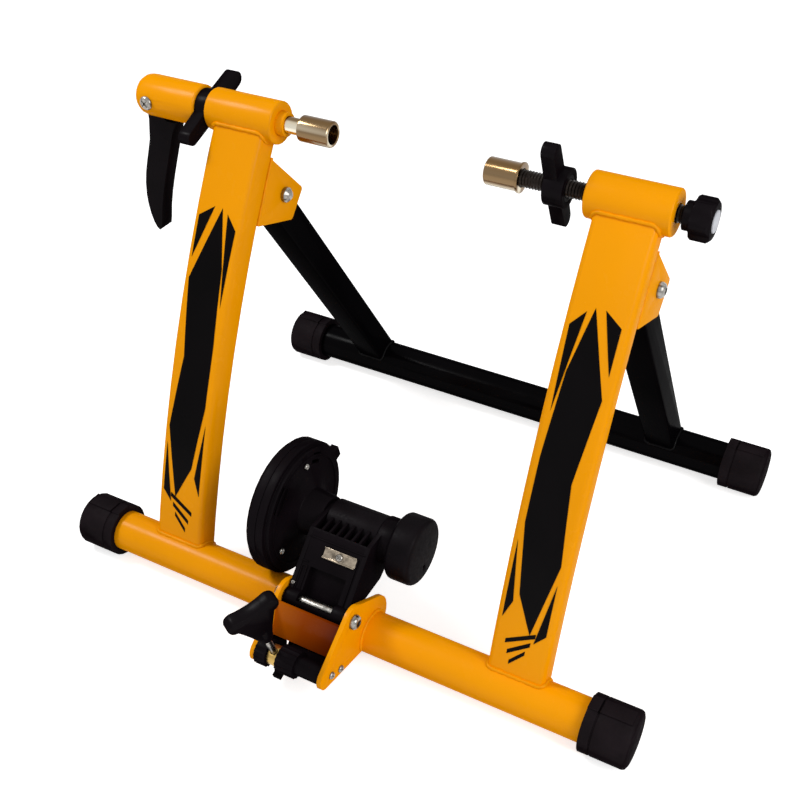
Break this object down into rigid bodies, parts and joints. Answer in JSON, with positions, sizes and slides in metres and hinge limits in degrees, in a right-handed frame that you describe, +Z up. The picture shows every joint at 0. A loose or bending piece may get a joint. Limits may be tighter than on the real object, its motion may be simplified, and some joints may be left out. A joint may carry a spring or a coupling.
{
  "type": "bicycle turbo trainer",
  "caption": "Folding stand that clamps a bicycle's rear axle between two cups and presses the tyre on a magnetically braked roller.",
  "frame": {"origin": "on the floor under the middle of the whole object", "axes": "+X to the rider's right along the tubes, from the cam lever to the screw knob; +Y to the folding rear frame, away from the roller adjuster; +Z up"},
  "size_m": [0.5654, 0.5082, 0.4288],
  "materials": {
    "yellow_enamel": "gloss",
    "black_enamel": "gloss",
    "black_plastic": "matte",
    "black_rubber": "matte",
    "zinc_steel": "satin",
    "nickel_steel": "gloss",
    "black_steel": "satin",
    "magnet_steel": "satin",
    "brass": "satin",
    "aluminium": "satin",
    "white_plastic": "gloss"
  },
  "bodies": {
    "main_frame": {"front_tube": "yellow_enamel", "left_upright": "yellow_enamel", "right_upright": "yellow_enamel", "left_clamp_barrel": "yellow_enamel", "right_clamp_barrel": "yellow_enamel", "left_hinge_bracket": "yellow_enamel", "right_hinge_bracket": "yellow_enamel", "left_fold_bolt": "zinc_steel", "right_fold_bolt": "zinc_steel", "left_fold_nut": "zinc_steel", "right_fold_nut": "zinc_steel", "front_left_foot": "black_rubber", "front_right_foot": "black_rubber", "unit_bracket": "yellow_enamel", "arm_pivot_bolt": "zinc_steel", "arm_pivot_nut": "zinc_steel", "arm_pivot_sleeve": "zinc_steel", "left_adjuster_block": "black_plastic", "right_adjuster_block": "black_plastic", "adjuster_nut": "brass", "block_screw_1": "zinc_steel", "block_screw_2": "zinc_steel", "block_screw_3": "zinc_steel", "block_screw_4": "zinc_steel"},
    "rear_frame": {"rear_tube": "black_enamel", "left_leg": "black_enamel", "right_leg": "black_enamel", "left_fold_bush": "black_plastic", "right_fold_bush": "black_plastic", "rear_left_foot": "black_rubber", "rear_right_foot": "black_rubber"},
    "roller_arm": {"roller_arm": "black_plastic", "spring_clip": "nickel_steel", "left_bearing": "zinc_steel", "right_bearing": "zinc_steel", "magnet_cover_inner": "black_plastic", "magnet_cover_outer": "black_plastic", "magnet_plate": "magnet_steel", "cover_screw_1": "zinc_steel", "cover_screw_2": "zinc_steel", "cover_screw_3": "zinc_steel"},
    "rotor": {"roller": "black_steel", "roller_axle": "zinc_steel", "rotor_disc": "aluminium", "flywheel": "black_steel"},
    "adjuster_rod": {"adjuster_rod": "zinc_steel"},
    "adjuster_knob": {"adjuster_knob": "black_plastic"},
    "lever_housing": {"lever_housing": "yellow_enamel", "lever_pin": "zinc_steel", "plunger_spring": "zinc_steel"},
    "cam_lever": {"cam_lever": "black_plastic"},
    "plunger": {"plunger": "nickel_steel", "left_axle_cup": "nickel_steel"},
    "left_lock_nut": {"left_lock_nut": "black_plastic"},
    "right_screw": {"right_screw": "black_steel", "right_axle_cup": "nickel_steel"},
    "right_screw_knob": {"right_screw_knob": "black_plastic", "knob_cap_disc": "white_plastic"},
    "right_nut_insert": {"right_nut_insert": "black_steel"},
    "right_lock_nut": {"right_lock_nut": "black_plastic"}
  },
  "joints": [
    {"name": "rear_frame_fold", "type": "hinge", "parent": "main_frame", "child": "rear_frame", "pos_m": [0.00766, 0.03907, 0.31898], "axis": [1, 0, 0], "range_deg": [-54, 0]},
    {"name": "roller_arm_tilt", "type": "hinge", "parent": "main_frame", "child": "roller_arm", "pos_m": [0.00766, -0.16494, 0.064], "axis": [1, 0, 0], "range_deg": [0, 11.9]},
    {"name": "rotor_spin", "type": "hinge", "parent": "roller_arm", "child": "rotor", "pos_m": [0.00766, -0.09324, 0.0936], "axis": [1, 0, 0], "continuous": true},
    {"name": "adjuster_rod_travel", "type": "slide", "parent": "main_frame", "child": "adjuster_rod", "axis": [0, 0.3101, -0.9507], "range_m": [0, 0.0102]},
    {"name": "adjuster_knob_turn", "type": "hinge", "parent": "adjuster_rod", "child": "adjuster_knob", "pos_m": [-0.00734, -0.20794, 0.038], "axis": [0, 0.3101, -0.9507], "range_deg": [0, 2880]},
    {"name": "lever_housing_travel", "type": "slide", "parent": "main_frame", "child": "lever_housing", "axis": [-1, 0, 0], "range_m": [0, 0.01]},
    {"name": "cam_lever_swing", "type": "hinge", "parent": "lever_housing", "child": "cam_lever", "pos_m": [-0.25633, 0.03136, 0.389], "axis": [0, 1, 0], "range_deg": [0, 95]},
    {"name": "plunger_travel", "type": "slide", "parent": "lever_housing", "child": "plunger", "axis": [-1, 0, 0], "range_m": [0, 0.00425]},
    {"name": "left_lock_nut_turn", "type": "hinge", "parent": "lever_housing", "child": "left_lock_nut", "pos_m": [-0.20133, 0.03136, 0.389], "axis": [1, 0, 0], "continuous": true},
    {"name": "right_screw_travel", "type": "slide", "parent": "main_frame", "child": "right_screw", "axis": [1, 0, 0], "range_m": [-0.005, 0.01]},
    {"name": "right_knob_turn", "type": "hinge", "parent": "right_screw", "child": "right_screw_knob", "pos_m": [0.22567, 0.03136, 0.389], "axis": [1, 0, 0], "range_deg": [-720.4, 1440.4]},
    {"name": "right_nut_travel", "type": "slide", "parent": "right_screw", "child": "right_nut_insert", "axis": [1, 0, 0], "range_m": [-0.02, 0.005]},
    {"name": "right_lock_nut_turn", "type": "hinge", "parent": "right_nut_insert", "child": "right_lock_nut", "pos_m": [0.11617, 0.03136, 0.389], "axis": [1, 0, 0], "range_deg": [-2880.4, 720.4]}
  ],
  "couplings": [
    {"joint": "roller_arm_tilt", "follows": "adjuster_knob_turn", "ratio": 0.0040601},
    {"joint": "adjuster_rod_travel", "follows": "adjuster_knob_turn", "m_per_rad": 0.00019894},
    {"joint": "plunger_travel", "follows": "cam_lever_swing", "m_per_rad": 0.002546},
    {"joint": "right_knob_turn", "follows": "right_screw_travel", "rad_per_m": 2513.3},
    {"joint": "right_lock_nut_turn", "follows": "right_nut_travel", "rad_per_m": 2513.3}
  ]
}
